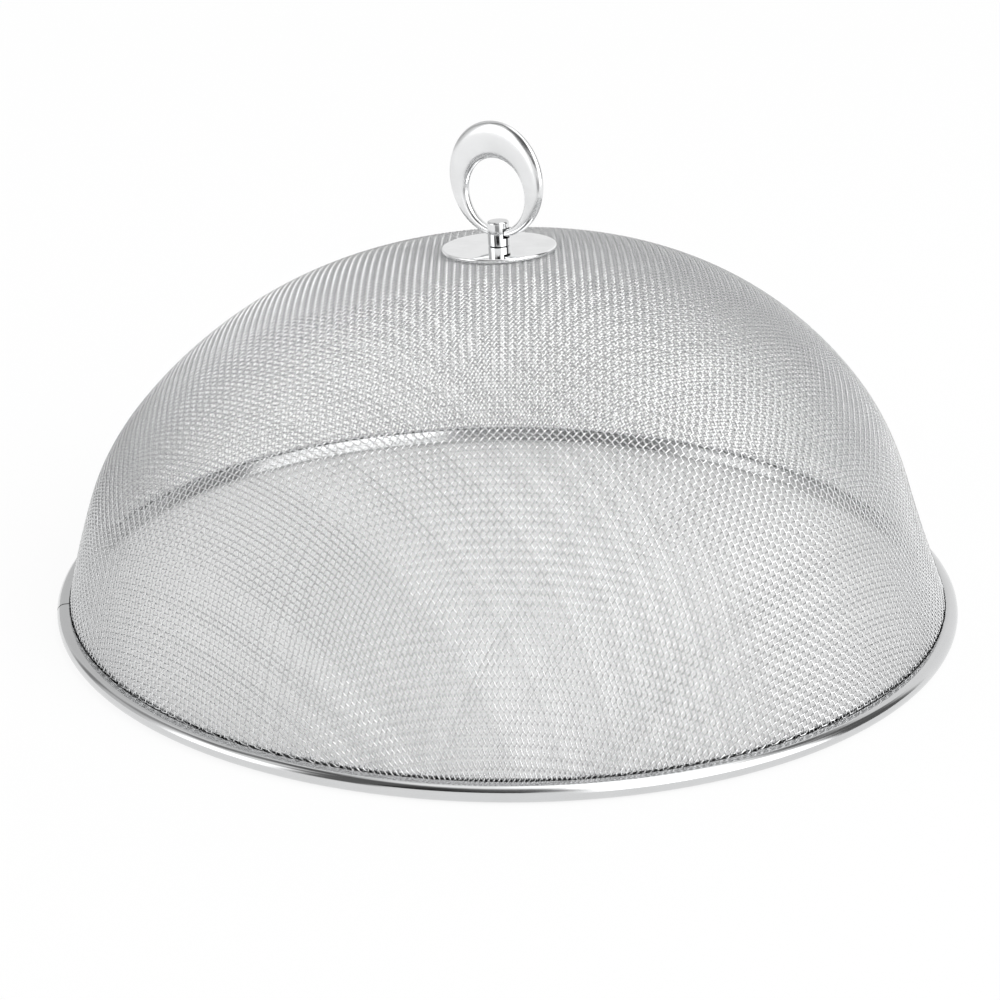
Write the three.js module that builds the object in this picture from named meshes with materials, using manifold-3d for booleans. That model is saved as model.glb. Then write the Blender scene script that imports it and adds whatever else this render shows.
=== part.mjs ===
// Domed food cover: a net of woven steel wire in a rolled steel rim, lifted by a ring on a turned post.
// Millimetres, +Z up. The origin is in the middle of the rim's foot, on the table.
import * as THREE from "three";
import { mergeVertices } from "three/addons/utils/BufferGeometryUtils.js";
import Module from "manifold-3d";

const wasm = await Module();
wasm.setup();

// Whole cover
const rimDiameter = 350;
const domeHeight = 135; // table to the middle of the net where the handle clamps it
const clearance = 0.3; // between neighbouring pieces
const cutOverrun = 1; // how far a cutting solid runs past what it cuts

// Rolled rim, a strip of sheet folded round the net's edge
const rimWidth = 7;
const rimHeight = 6.1;
const stripThickness = 0.6;
const rimRollRadius = 2.75; // of the strip's middle, round the outside
const rimCornerRadius = 0.9; // of the strip's middle, at the inner foot
const leafLean = THREE.MathUtils.degToRad(26); // the inner leaf leans out from its foot
const seamGap = 0.4; // the strip's two ends meet at the left
const ringSegments = 72;

// Net. The real cloth has far too many wires for one solid, so a strand stands for twelve wires side by side
// and holds as much metal as they do.
const wireDiameter = 0.5;
const wirePitch = 2.03;
const wiresPerStrand = 12;
const strandGap = 0.3; // where one strand passes over another
const hemThickness = 2 * wireDiameter; // the net's edge, pressed flat
const hemStandout = 1.6; // how far the pressed edge shows above the rim
const crownSlope = THREE.MathUtils.degToRad(51); // where the crown's arc passes into the shoulder's
const wallSlope = THREE.MathUtils.degToRad(71.3); // of the straight wall that runs down into the rim
const wallLength = 41;
// The pressed net isn't quite true: it leans to the left and stands a little left of its rim
const crownLean = THREE.MathUtils.degToRad(2.8);
const leanFadeShare = 2.35; // power by which the lean dies out towards the rim
const wallShift = -5.4;
const shiftFadeShare = 4.3; // power by which the shift dies out towards the rim
const crownShift = 2.3; // back to the right, in even growth from the rim to the crown

// Handle, all on the axis of its post
const plateDiameter = 43;
const plateThickness = 1.4;
const plateEdgeRadius = 0.5;
const postDiameter = 8.2;
const postHeight = 9.4;
const postEdgeRadius = 0.8;
const studDiameter = 5;
const studTip = 1.2; // how far the stud shows below the nut
const ringDiameter = 43;
const ringHoleDiameter = 26.8;
const ringFootWidth = 2.6; // between the hole and the outside at the post
const ringThickness = 4.4; // at the top
const ringFootThickness = 3.4; // in the post's slot
const ringFootHeight = 3.4; // from the plate to the ring's lowest point
const ringTurn = THREE.MathUtils.degToRad(38); // the ring's face is turned to the left
const washerDiameter = 34;
const washerThickness = 1.2;
const springWasherDiameter = 9.2;
const springWasherThickness = 1.2;
const springWasherSplit = 0.8;
const nutWidth = 8; // across flats
const nutHeight = 4;
const discSegments = 48;
const smallSegments = 32;
const edgeSteps = 4; // in a rounded edge
const cornerSteps = 2; // in the rim's inner corner
const rollSteps = 6; // round the rim's outside
const mergeWithin = 1e-4; // points nearer than this are one
const fineShare = 1000; // parts of a strand pitch that a crossing is placed to
const newtonRounds = 30;

// Radii and heights that follow
const rimRadius = rimDiameter / 2;
const rimInnerRadius = rimRadius - rimWidth;
const hemInnerRadius = rimInnerRadius + stripThickness + clearance;
const hemRadius = hemInnerRadius + hemThickness / 2;
const lipRadius = hemInnerRadius + hemThickness + clearance;
const hemBottom = stripThickness + clearance;
const hemTop = rimHeight + hemStandout;
const strandPitch = wirePitch * wiresPerStrand;
// A square bar with the metal of the wires that it stands for
const strandHalf = (Math.sqrt(Math.PI * wiresPerStrand) * wireDiameter) / 4;
const crimpHeight = strandHalf + strandGap / 2;
const strandEnd = rimHeight + clearance + strandHalf; // the height at which strands run into the hem
const studHole = studDiameter / 2 + clearance;
const patchThickness = hemThickness;
const patchJoint = 3 * wireDiameter; // how far the strands run into the pressed patch
const patchRadius = plateDiameter / 2 + clearance + patchJoint;
const flatRadius = washerDiameter / 2; // the crown is flat over the washer

// The net's middle surface in section: a flat crown over the washer, two arcs that meet smoothly, and a
// straight wall. The arcs' radii solve the two sums that make the wall end at the hem's radius and height.
const arcWidth = hemRadius - flatRadius - wallLength * Math.cos(wallSlope);
const arcDrop = domeHeight - strandEnd - wallLength * Math.sin(wallSlope);
const crownAcross = Math.sin(crownSlope);
const crownDown = 1 - Math.cos(crownSlope);
const shoulderAcross = Math.sin(wallSlope) - crownAcross;
const shoulderDown = Math.cos(crownSlope) - Math.cos(wallSlope);
const solveBy = crownAcross * shoulderDown - shoulderAcross * crownDown;
const crownRadius = (arcWidth * shoulderDown - arcDrop * shoulderAcross) / solveBy;
const shoulderRadius = (crownAcross * arcDrop - crownDown * arcWidth) / solveBy;
const crownArc = crownRadius * crownSlope;
const shoulderArc = shoulderRadius * (wallSlope - crownSlope);
const netLength = flatRadius + crownArc + shoulderArc + wallLength;

// Radius and height of the net's middle surface at a length of arc from the crown, before lean and shift
function netSection(length) {
  if (length <= flatRadius) return [length, domeHeight];
  const onArc = length - flatRadius;
  if (onArc <= crownArc) {
    const slope = onArc / crownRadius;
    const drop = crownRadius * (1 - Math.cos(slope));
    return [flatRadius + crownRadius * Math.sin(slope), domeHeight - drop];
  }
  const slope = crownSlope + Math.min(onArc - crownArc, shoulderArc) / shoulderRadius;
  const onWall = Math.max(0, onArc - crownArc - shoulderArc);
  const across = shoulderRadius * (Math.sin(slope) - crownAcross) + onWall * Math.cos(wallSlope);
  const down = shoulderRadius * (Math.cos(crownSlope) - Math.cos(slope)) + onWall * Math.sin(wallSlope);
  return [flatRadius + crownRadius * crownAcross + across, domeHeight - crownRadius * crownDown - down];
}

// A point of the net's middle surface: its arc length from the crown and its angle round the axis
function netPoint(length, angle) {
  const [radius, height] = netSection(length);
  const x = radius * Math.cos(angle);
  const share = Math.max(0, (height - strandEnd) / (domeHeight - strandEnd));
  const lift = Math.tan(crownLean) * x * (1 - (1 - share) ** leanFadeShare);
  const shift = wallShift * (1 - (1 - share) ** shiftFadeShare) + crownShift * share;
  return new THREE.Vector3(x + shift, radius * Math.sin(angle), height + lift);
}

function netNormal(length, angle) {
  const step = strandHalf;
  const far = Math.max(length, patchRadius);
  const along = netPoint(far + step, angle).sub(netPoint(far - step, angle));
  const turn = step / netSection(far)[0];
  const round = netPoint(far, angle + turn).sub(netPoint(far, angle - turn));
  return along.cross(round).normalize();
}

function material(color, roughness) {
  return new THREE.MeshStandardMaterial({ color, roughness, metalness: 1 });
}

const wireSteel = material(0xc4c7ca, 0.35);
const rimSteel = material(0xcfd1d3, 0.25);
const chrome = material(0xe4e6e8, 0.12);
const plainSteel = material(0xb4b8bc, 0.4);

function toManifold(geometry) {
  const bare = geometry.clone();
  bare.deleteAttribute("normal");
  bare.deleteAttribute("uv");
  const merged = mergeVertices(bare, mergeWithin);
  return new wasm.Manifold(
    new wasm.Mesh({
      numProp: 3,
      vertProperties: new Float32Array(merged.attributes.position.array),
      triVerts: new Uint32Array(merged.index.array),
    }),
  );
}

function fromManifold(solid) {
  const mesh = solid.getMesh();
  const geometry = new THREE.BufferGeometry();
  geometry.setAttribute("position", new THREE.BufferAttribute(mesh.vertProperties, 3));
  geometry.setIndex(new THREE.BufferAttribute(mesh.triVerts, 1));
  geometry.computeVertexNormals();
  return geometry;
}

// A lathe geometry turned from the xy half plane so that its axis is Z
function turned(points, segments) {
  return new THREE.LatheGeometry(points, segments).rotateX(Math.PI / 2);
}

function at(x, y) {
  return new THREE.Vector2(x, y);
}

// Points of an arc in a profile, from one angle to another
function arc(centre, radius, from, to, steps) {
  const points = [];
  for (let i = 0; i <= steps; i++) {
    const turn = from + ((to - from) * i) / steps;
    points.push(at(centre.x + radius * Math.cos(turn), centre.y + radius * Math.sin(turn)));
  }
  return points;
}

// The rounded upper edge of a turned piece
function topEdge(outer, top, radius) {
  return arc(at(outer - radius, top - radius), radius, 0, Math.PI / 2, edgeSteps);
}

// A flat ring between two heights, with its upper outer edge rounded when a radius is given
function turnedPlate({ inner, outer, bottom, top, edge = 0, segments }) {
  const rim = edge > 0 ? topEdge(outer, top, edge) : [at(outer, top)];
  return turned([at(inner, bottom), at(outer, bottom), ...rim, at(inner, top), at(inner, bottom)], segments);
}

function box(width, depth, height) {
  return new THREE.BoxGeometry(width, depth, height);
}

// A closed solid lofted through rings of points, joined end to end or capped at both ends
function loft(rings, closed) {
  const sides = rings[0].length;
  const positions = rings.flat().flatMap((p) => [p.x, p.y, p.z]);
  const faces = [];
  const last = closed ? rings.length : rings.length - 1;
  for (let i = 0; i < last; i++)
    for (let k = 0; k < sides; k++) {
      const here = i * sides;
      const there = ((i + 1) % rings.length) * sides;
      const next = (k + 1) % sides;
      faces.push(here + k, here + next, there + next, here + k, there + next, there + k);
    }
  if (!closed)
    for (let k = 1; k < sides - 1; k++) {
      const end = (rings.length - 1) * sides;
      faces.push(0, k + 1, k, end, end + k, end + k + 1);
    }
  const geometry = new THREE.BufferGeometry();
  geometry.setAttribute("position", new THREE.Float32BufferAttribute(positions, 3));
  geometry.setIndex(faces);
  return geometry;
}

// The strip folded round the net's edge: a leaning inner leaf, a flat foot, a round outside, and an upper
// leaf whose lip comes back to the net
function rimBand() {
  const half = stripThickness / 2;
  const leaf = rimInnerRadius + half;
  const leafBottom = half + rimCornerRadius * (1 + Math.sin(leafLean)); // where it runs into the corner
  const leafFoot = leaf - (rimHeight - leafBottom) * Math.tan(leafLean);
  const corner = at(leafFoot + rimCornerRadius * Math.cos(leafLean), half + rimCornerRadius);
  const roll = at(rimRadius - half - rimRollRadius, half + rimRollRadius);
  const lip = at(lipRadius + half, rimHeight - half);
  // The upper leaf touches the roll's circle on its way from the lip
  const toLip = lip.clone().sub(roll);
  const rollEnd = toLip.angle() - Math.acos(rimRollRadius / toLip.length());
  const route = [
    at(leaf, rimHeight),
    ...arc(corner, rimCornerRadius, Math.PI - leafLean, (3 * Math.PI) / 2, cornerSteps),
    ...arc(roll, rimRollRadius, -Math.PI / 2, rollEnd, rollSteps),
    lip,
  ];
  const [inside, outside] = [[], []];
  route.forEach((point, i) => {
    const before = route[Math.max(i - 1, 0)];
    const after = route[Math.min(i + 1, route.length - 1)];
    const ahead = after.clone().sub(before).normalize();
    const aside = at(ahead.y, -ahead.x).multiplyScalar(half);
    outside.push(point.clone().add(aside));
    inside.push(point.clone().sub(aside));
  });
  const outline = [...outside, ...inside.reverse(), outside[0].clone()];
  const slit = box(2 * rimWidth, seamGap, 2 * (rimHeight + cutOverrun)).translate(-rimRadius, 0, 0);
  return fromManifold(toManifold(turned(outline, ringSegments)).subtract(toManifold(slit)));
}

// Places where strands cross. Every crossing lies one strand pitch from the crossings beside it, measured
// straight, as in a cloth whose wires keep their length when it is pressed into a dome.
function crossings() {
  const reach = Math.ceil(netLength / strandPitch) + 2;
  const places = new Map();
  const name = (i, j) => i + " " + j;
  const find = (i, j) => places.get(name(i, j));
  const put = (i, j, length, angle) => {
    places.set(name(i, j), { length, angle, point: netPoint(length, angle) });
  };
  // The two main strands cross at the crown and run down to the rim in four straight legs
  const legs = [
    [1, 0],
    [0, 1],
    [-1, 0],
    [0, -1],
  ];
  legs.forEach(([i, j], quarter) => {
    const angle = ((2 * quarter + 1) * Math.PI) / 4;
    let length = 0;
    for (let n = 0; n <= reach; n++) {
      put(i * n, j * n, length, angle);
      length = crossingBelow(length, angle);
    }
  });
  for (const [sideI, sideJ] of [
    [1, 1],
    [1, -1],
    [-1, 1],
    [-1, -1],
  ])
    for (let i = 1; i <= reach; i++)
      for (let j = 1; j <= reach; j++) {
        const first = find(sideI * (i - 1), sideJ * j);
        const second = find(sideI * i, sideJ * (j - 1));
        const behind = find(sideI * (i - 1), sideJ * (j - 1));
        const place = first && second && behind && crossingBeside(first, second, behind);
        if (place) put(sideI * i, sideJ * j, place.length, place.angle);
      }
  return { find, reach };
}

// The length of arc at which a leg's next crossing lies one strand pitch straight from the last one
function crossingBelow(length, angle) {
  const known = netPoint(length, angle);
  let next = length + strandPitch;
  for (let round = 0; round < newtonRounds; round++) {
    next += strandPitch - known.distanceTo(netPoint(next, angle));
  }
  return next;
}

// The place one strand pitch from two known crossings, on the far side from the one behind them.
// Newton's method on the place's arc length and angle brings both distances to the pitch.
function crossingBeside(first, second, behind) {
  if (Math.min(first.length, second.length) > netLength) return null;
  const guess = first.point.clone().add(second.point).sub(behind.point);
  let length = first.length + second.length - behind.length;
  let angle = Math.atan2(guess.y, guess.x);
  const misses = (l, a) => {
    const point = netPoint(l, a);
    return [point.distanceTo(first.point) - strandPitch, point.distanceTo(second.point) - strandPitch];
  };
  const step = strandPitch / fineShare;
  for (let round = 0; round < newtonRounds; round++) {
    const turn = step / netSection(length)[0];
    const now = misses(length, angle);
    const farther = misses(length + step, angle);
    const turned = misses(length, angle + turn);
    const byLength = [0, 1].map((k) => (farther[k] - now[k]) / step);
    const byAngle = [0, 1].map((k) => (turned[k] - now[k]) / turn);
    const scale = byLength[0] * byAngle[1] - byAngle[0] * byLength[1];
    length -= (now[0] * byAngle[1] - byAngle[0] * now[1]) / scale;
    angle -= (byLength[0] * now[1] - now[0] * byLength[1]) / scale;
  }
  return Math.hypot(...misses(length, angle)) < step ? { length, angle } : null;
}

// One square-section strand through its crossings, from hem to hem
function strand(stops) {
  const corners = [
    [-1, -1],
    [1, -1],
    [1, 1],
    [-1, 1],
  ];
  const rings = stops.map(({ point, normal }, i) => {
    const before = stops[Math.max(i - 1, 0)].point;
    const after = stops[Math.min(i + 1, stops.length - 1)].point;
    const ahead = after.clone().sub(before).normalize();
    const up = normal.clone().addScaledVector(ahead, -normal.dot(ahead)).setLength(strandHalf);
    const aside = up.clone().cross(ahead);
    return corners.map(([a, u]) => point.clone().addScaledVector(aside, a).addScaledVector(up, u));
  });
  return loft(rings, false);
}

// Where a strand between a crossing inside the rim and the next one outside it meets the hem
function hemStop(inside, outside) {
  const share = (inside.point.z - strandEnd) / (inside.point.z - outside.point.z);
  const point = inside.point.clone().lerp(outside.point, share);
  const normal = new THREE.Vector3(point.x, point.y, 0).normalize();
  return { normal, point: normal.clone().multiplyScalar(hemRadius).setZ(strandEnd) };
}

// All strands of both directions. At each crossing one is lifted off the net's middle surface and the other
// pressed under it, in turns along both.
function strands() {
  const { find, reach } = crossings();
  const lowest = hemTop + strandHalf;
  const solids = [];
  for (const direction of [1, -1])
    for (let line = -reach; line <= reach; line++) {
      const row = [];
      for (let n = -reach; n <= reach; n++) {
        const place = direction > 0 ? find(n, line) : find(line, n);
        const lift = direction * ((n + line) % 2 === 0 ? crimpHeight : -crimpHeight);
        if (place) row.push({ ...place, lift });
      }
      const from = row.findIndex((place) => place.point.z > lowest);
      const to = row.findLastIndex((place) => place.point.z > lowest);
      if (from < 1 || to === row.length - 1) continue;
      const stops = row.slice(from, to + 1).map(({ length, angle, point, lift }) => {
        const normal = netNormal(length, angle);
        return { normal, point: point.clone().addScaledVector(normal, lift) };
      });
      const ends = [hemStop(row[from], row[from - 1]), hemStop(row[to], row[to + 1])];
      solids.push(toManifold(strand([ends[0], ...stops, ends[1]])));
    }
  return solids;
}

// Stands at the middle of the clamped patch and leans with the crown
const handleAxis = new THREE.Group();
handleAxis.position.set(wallShift + crownShift, 0, domeHeight);
handleAxis.rotation.y = -crownLean;
handleAxis.updateMatrix();

// The woven strands, fused to a hem that the rim holds and to the patch that the handle clamps
function meshDome() {
  const hem = turnedPlate({
    inner: hemInnerRadius,
    outer: hemInnerRadius + hemThickness,
    bottom: hemBottom,
    top: hemTop,
    segments: ringSegments,
  });
  const patch = turnedPlate({
    inner: studHole,
    outer: patchRadius,
    bottom: -patchThickness / 2,
    top: patchThickness / 2,
    segments: discSegments,
  }).applyMatrix4(handleAxis.matrix);
  const clearRadius = patchRadius - patchJoint;
  const underHandle = new THREE.CylinderGeometry(clearRadius, clearRadius, strandPitch, discSegments)
    .rotateX(Math.PI / 2)
    .applyMatrix4(handleAxis.matrix);
  const woven = wasm.Manifold.union(strands()).subtract(toManifold(underHandle));
  return fromManifold(wasm.Manifold.union([woven, toManifold(hem), toManifold(patch)]));
}

// Heights along the handle's axis, up and down from the middle of the net
const plateBottom = patchThickness / 2 + clearance;
const plateTop = plateBottom + plateThickness;
const postBottom = plateTop + clearance;
const postTop = plateTop + postHeight;
const ringBottom = plateTop + ringFootHeight;
const washerTop = -patchThickness / 2 - clearance;
const washerBottom = washerTop - washerThickness;
const springWasherTop = washerBottom - clearance;
const springWasherBottom = springWasherTop - springWasherThickness;
const nutTop = springWasherBottom - clearance;
const nutBottom = nutTop - nutHeight;
const studBottom = nutBottom - studTip;

// A turned post with a slot for the ring and a stud that goes down through the plate, the net and the washers
function handlePost() {
  const outline = [
    at(0, studBottom),
    at(studDiameter / 2, studBottom),
    at(studDiameter / 2, postBottom),
    at(postDiameter / 2, postBottom),
    ...topEdge(postDiameter / 2, postTop, postEdgeRadius),
    at(0, postTop),
  ];
  const slotBottom = ringBottom - clearance;
  const slotHeight = postTop - slotBottom + cutOverrun;
  const slot = box(2 * postDiameter, ringFootThickness + 2 * clearance, slotHeight)
    .translate(0, 0, slotBottom + slotHeight / 2)
    .rotateZ(-ringTurn);
  return fromManifold(toManifold(turned(outline, smallSegments)).subtract(toManifold(slot)));
}

// A round ring with a round hole set low in it, so that it is broad at the top and thin at the post.
// Its faces are nearly flat with full rounded edges, and it thins towards the foot.
function handleRing() {
  const acrossShares = [0, 0.04, 0.14, 0.3, 0.7, 0.86, 0.96, 1]; // across the section, from hole to outside
  const flatness = 3; // power of the section's curve, over 2 for flat faces
  const outer = ringDiameter / 2;
  const hole = ringHoleDiameter / 2;
  const rise = outer - hole - ringFootWidth; // of the ring's middle above the hole's
  const broadest = outer + rise - hole;
  const rings = [];
  for (let s = 0; s < discSegments; s++) {
    const turn = (s / discSegments) * 2 * Math.PI;
    const spoke = new THREE.Vector3(Math.cos(turn), 0, Math.sin(turn));
    const toOutside = rise * spoke.z + Math.sqrt(outer * outer - (rise * spoke.x) ** 2);
    const width = toOutside - hole;
    const broadShare = (width - ringFootWidth) / (broadest - ringFootWidth);
    const half = (ringFootThickness + broadShare * (ringThickness - ringFootThickness)) / 2;
    const pointAt = (share, side) => {
      const depth = side * half * Math.sqrt(1 - Math.abs(2 * share - 1) ** flatness);
      return spoke.clone().multiplyScalar(hole + share * width).setY(depth);
    };
    const front = acrossShares.map((share) => pointAt(share, -1));
    const back = acrossShares.slice(1, -1).map((share) => pointAt(share, 1));
    rings.push([...front, ...back.reverse()]);
  }
  return loft(rings, true).translate(0, 0, ringBottom + ringFootWidth + hole).rotateZ(-ringTurn);
}

function coverPlate() {
  return turnedPlate({
    inner: studHole,
    outer: plateDiameter / 2,
    bottom: plateBottom,
    top: plateTop,
    edge: plateEdgeRadius,
    segments: discSegments,
  });
}

function innerWasher() {
  return turnedPlate({
    inner: studHole,
    outer: washerDiameter / 2,
    bottom: washerBottom,
    top: washerTop,
    segments: discSegments,
  });
}

function springWasher() {
  const whole = turnedPlate({
    inner: studHole,
    outer: springWasherDiameter / 2,
    bottom: springWasherBottom,
    top: springWasherTop,
    segments: smallSegments,
  });
  const split = box(springWasherDiameter, springWasherSplit, springWasherThickness + 2 * cutOverrun);
  split.translate(springWasherDiameter / 2, 0, (springWasherBottom + springWasherTop) / 2);
  return fromManifold(toManifold(whole).subtract(toManifold(split)));
}

function hexNut() {
  const outline = new THREE.Shape(arc(at(0, 0), nutWidth / Math.sqrt(3), 0, 2 * Math.PI, 6).slice(1));
  outline.holes.push(new THREE.Path().absarc(0, 0, studHole, 0, 2 * Math.PI, true));
  const options = { depth: nutHeight, bevelEnabled: false, curveSegments: smallSegments };
  return new THREE.ExtrudeGeometry(outline, options).translate(0, 0, nutBottom);
}

function addPiece(group, name, geometry, finish) {
  const mesh = new THREE.Mesh(geometry, finish);
  mesh.name = name;
  group.add(mesh);
}

const cover = new THREE.Group();
addPiece(cover, "rim_band", rimBand(), rimSteel);
addPiece(cover, "mesh_dome", meshDome(), wireSteel);
cover.add(handleAxis);
addPiece(handleAxis, "cover_plate", coverPlate(), chrome);
addPiece(handleAxis, "handle_post", handlePost(), chrome);
addPiece(handleAxis, "handle_ring", handleRing(), chrome);
addPiece(handleAxis, "inner_washer", innerWasher(), plainSteel);
addPiece(handleAxis, "spring_washer", springWasher(), plainSteel);
addPiece(handleAxis, "hex_nut", hexNut(), plainSteel);

export default cover;
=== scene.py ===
# Dresses the mesh food cover: fine woven net, rolled rim and ring handle, in a plain pale studio.
# Shapes are worked out in millimetres and written to the meshes in metres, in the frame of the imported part.
import math
import bmesh
import bpy
import numpy as np
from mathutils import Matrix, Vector


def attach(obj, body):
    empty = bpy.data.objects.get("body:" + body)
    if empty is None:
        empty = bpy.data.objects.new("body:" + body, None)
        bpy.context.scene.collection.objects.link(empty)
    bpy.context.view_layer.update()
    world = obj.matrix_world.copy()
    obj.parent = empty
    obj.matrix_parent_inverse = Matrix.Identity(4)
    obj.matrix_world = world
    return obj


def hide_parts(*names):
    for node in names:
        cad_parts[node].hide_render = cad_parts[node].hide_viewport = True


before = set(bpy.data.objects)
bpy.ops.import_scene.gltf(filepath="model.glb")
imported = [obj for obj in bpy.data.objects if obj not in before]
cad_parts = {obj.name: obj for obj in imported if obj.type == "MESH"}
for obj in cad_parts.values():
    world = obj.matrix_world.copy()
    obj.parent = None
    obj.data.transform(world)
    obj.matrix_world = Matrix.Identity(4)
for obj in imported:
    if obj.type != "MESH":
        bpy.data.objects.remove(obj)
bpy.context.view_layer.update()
metre = 0.001
print("stage: frame loaded,", len(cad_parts), "nodes")


def addObject(name, data):
    made = bpy.data.objects.new(name, data)
    bpy.context.scene.collection.objects.link(made)
    return made


cameraValues = {
    "place": (-2.874, -718.43, 315.37),
    "pitchDown": 21.2945,
    "focalPixels": 1970.1,
    "imagePixels": 1000,
    "sensor": 36.0,
    "clip": (0.01, 50.0),
}


def makeCamera():
    v = cameraValues
    data = bpy.data.cameras.new("camera")
    data.sensor_width = v["sensor"]
    data.lens = v["focalPixels"] / v["imagePixels"] * v["sensor"]
    data.clip_start, data.clip_end = v["clip"]
    camera = addObject("camera", data)
    camera.location = [c * metre for c in v["place"]]
    camera.rotation_euler = (math.radians(90 - v["pitchDown"]), 0, 0)
    bpy.context.scene.camera = camera


makeCamera()
print("stage: camera")


# Small tools for node trees, shared by all materials
def addNode(tree, kind, **settings):
    node = tree.nodes.new(kind)
    for key, value in settings.items():
        setattr(node, key, value)
    return node


def feed(tree, target, source):
    if isinstance(source, bpy.types.NodeSocket):
        tree.links.new(source, target)
    else:
        target.default_value = source


def mathNode(tree, operation, *values, clamp=False):
    node = addNode(tree, "ShaderNodeMath", operation=operation, use_clamp=clamp)
    for socket, value in zip(node.inputs, values):
        feed(tree, socket, value)
    return node.outputs[0]


def mapRange(tree, value, fromLow, fromHigh, toLow, toHigh, smooth=False):
    node = addNode(tree, "ShaderNodeMapRange")
    node.interpolation_type = "SMOOTHSTEP" if smooth else "LINEAR"
    for name, given in (
        ("Value", value),
        ("From Min", fromLow),
        ("From Max", fromHigh),
        ("To Min", toLow),
        ("To Max", toHigh),
    ):
        feed(tree, node.inputs[name], given)
    return node.outputs["Result"]


def noiseNode(tree, vector, scale, detail, roughness):
    node = addNode(tree, "ShaderNodeTexNoise")
    feed(tree, node.inputs["Vector"], vector)
    feed(tree, node.inputs["Scale"], scale)
    feed(tree, node.inputs["Detail"], detail)
    feed(tree, node.inputs["Roughness"], roughness)
    return node.outputs["Fac"]


def combine(tree, x, y, z):
    node = addNode(tree, "ShaderNodeCombineXYZ")
    for socket, value in zip(node.inputs, (x, y, z)):
        feed(tree, socket, value)
    return node.outputs[0]


def newGroup(name, inputs, outputs):
    group = bpy.data.node_groups.new(name, "ShaderNodeTree")
    for label, kind in inputs:
        group.interface.new_socket(name=label, in_out="INPUT", socket_type=kind)
    for label, kind in outputs:
        group.interface.new_socket(name=label, in_out="OUTPUT", socket_type=kind)
    start = group.nodes.new("NodeGroupInput")
    end = group.nodes.new("NodeGroupOutput")
    return group, start, end


markValues = {
    "lineDetail": 3.0,
    "lineRoughness": 0.6,
    "patchScale": 60.0,
    "patchDetail": 3.0,
    "patchRoughness": 0.5,
    "scratchScale": 240.0,
    "scratchDetail": 2.0,
    "scratchRoughness": 0.7,
    "scratches": ((0.4, 9.0), (1.5, 12.0), (2.6, 7.0)),  # turn in radians, and stretch
    "scratchTilt": (0.6, 0.3, 1.0),  # the turn's shares about the three axes
    "scratchEdge": (0.66, 0.74),
    "smudgeScale": 90.0,
    "smudgeDetail": 4.0,
    "smudgeRoughness": 0.55,
    "smudgeEdge": (0.42, 0.68),
    "smudgeShare": 0.4,
    "dulling": 0.8,
    "dulledTint": 0.93,
    "bumpDistance": 0.00005,
}


# Fine lines that run round the cover's axis, as on rolled or turned metal
def makeRoundLines():
    v = markValues
    group, start, end = newGroup(
        "roundLines",
        [
            ("Place", "NodeSocketVector"),
            ("Lines per metre", "NodeSocketFloat"),
            ("Lengthwise", "NodeSocketFloat"),
        ],
        [("Height", "NodeSocketFloat"), ("Patches", "NodeSocketFloat")],
    )
    split = addNode(group, "ShaderNodeSeparateXYZ")
    feed(group, split.inputs[0], start.outputs["Place"])
    x, y, z = split.outputs
    squares = [mathNode(group, "MULTIPLY", side, side) for side in (x, y)]
    radius = mathNode(group, "SQRT", mathNode(group, "ADD", *squares))
    angle = mathNode(group, "ARCTAN2", y, x)
    density = start.outputs["Lines per metre"]
    along = mathNode(group, "MULTIPLY", angle, start.outputs["Lengthwise"])
    across = mathNode(group, "MULTIPLY", radius, density)
    upward = mathNode(group, "MULTIPLY", z, density)
    polar = combine(group, across, upward, along)
    lines = noiseNode(group, polar, 1.0, v["lineDetail"], v["lineRoughness"])
    place = start.outputs["Place"]
    patches = noiseNode(group, place, v["patchScale"], v["patchDetail"], v["patchRoughness"])
    feed(group, end.inputs["Height"], lines)
    feed(group, end.inputs["Patches"], patches)
    return group


# Hair scratches and finger marks of polished metal, as a height and as a dulling mask
def makeHandling():
    v = markValues
    group, start, end = newGroup(
        "handling",
        [("Place", "NodeSocketVector")],
        [("Height", "NodeSocketFloat"), ("Dulling", "NodeSocketFloat")],
    )
    place = start.outputs["Place"]
    total = None
    for turn, stretch in v["scratches"]:
        mapping = addNode(group, "ShaderNodeMapping")
        feed(group, mapping.inputs["Vector"], place)
        mapping.inputs["Rotation"].default_value = [turn * share for share in v["scratchTilt"]]
        mapping.inputs["Scale"].default_value = (1.0, stretch, 1.0)
        noise = noiseNode(
            group, mapping.outputs[0], v["scratchScale"], v["scratchDetail"], v["scratchRoughness"]
        )
        hair = mapRange(group, noise, *v["scratchEdge"], 0.0, 1.0)
        total = hair if total is None else mathNode(group, "MAXIMUM", total, hair)
    smudge = noiseNode(group, place, v["smudgeScale"], v["smudgeDetail"], v["smudgeRoughness"])
    feed(group, end.inputs["Height"], total)
    feed(group, end.inputs["Dulling"], mapRange(group, smudge, *v["smudgeEdge"], 0.0, 1.0))
    return group


roundLines = makeRoundLines()
handling = makeHandling()

# Lines are so many to the metre across, and so many to a radian along. Polished metal has none.
materialValues = {
    "chrome": {"colour": (0.8, 0.805, 0.81), "roughness": (0.08, 0.14), "bump": 0.03},
    "softChrome": {"colour": (0.82, 0.825, 0.83), "roughness": (0.19, 0.25), "bump": 0.03},
    "brightPlate": {"colour": (0.96, 0.965, 0.97), "roughness": (0.03, 0.09), "bump": 0.03},
    "rimSteel": {
        "colour": (0.67, 0.675, 0.68),
        "roughness": (0.08, 0.16),
        "bump": 0.05,
        "lines": (9000.0, 3.0),
    },
    "wireSteel": {
        "colour": (0.76, 0.765, 0.77),
        "roughness": (0.2, 0.28),
        "bump": 0.04,
        "lines": (5200.0, 260.0),
    },
    "plainSteel": {
        "colour": (0.68, 0.685, 0.695),
        "roughness": (0.26, 0.42),
        "bump": 0.2,
        "lines": (6500.0, 3.0),
    },
}


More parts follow.
